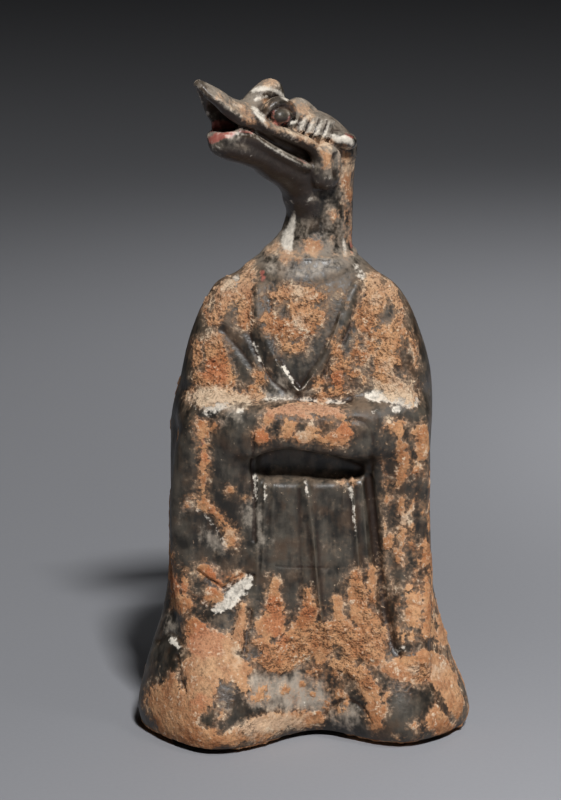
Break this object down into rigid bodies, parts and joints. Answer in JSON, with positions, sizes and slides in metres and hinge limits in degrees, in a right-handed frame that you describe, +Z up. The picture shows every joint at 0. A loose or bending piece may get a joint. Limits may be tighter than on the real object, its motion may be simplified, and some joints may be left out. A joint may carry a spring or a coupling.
{
  "type": "zodiac figure",
  "caption": "Standing robed figure with a dragon's head turned aside, hands joined in wide sleeves, moulded in grey earthenware with earth and slip on it.",
  "frame": {"origin": "middle of the flat underside of the robe", "axes": "+Z up; the body faces -Y and the muzzle points to -X and -Y; +X is to the right of a viewer in front"},
  "size_m": [0.1484, 0.1072, 0.2938],
  "materials": {
    "earthenware": "matte"
  },
  "bodies": {
    "root": {"figure": "earthenware"}
  },
  "joints": []
}
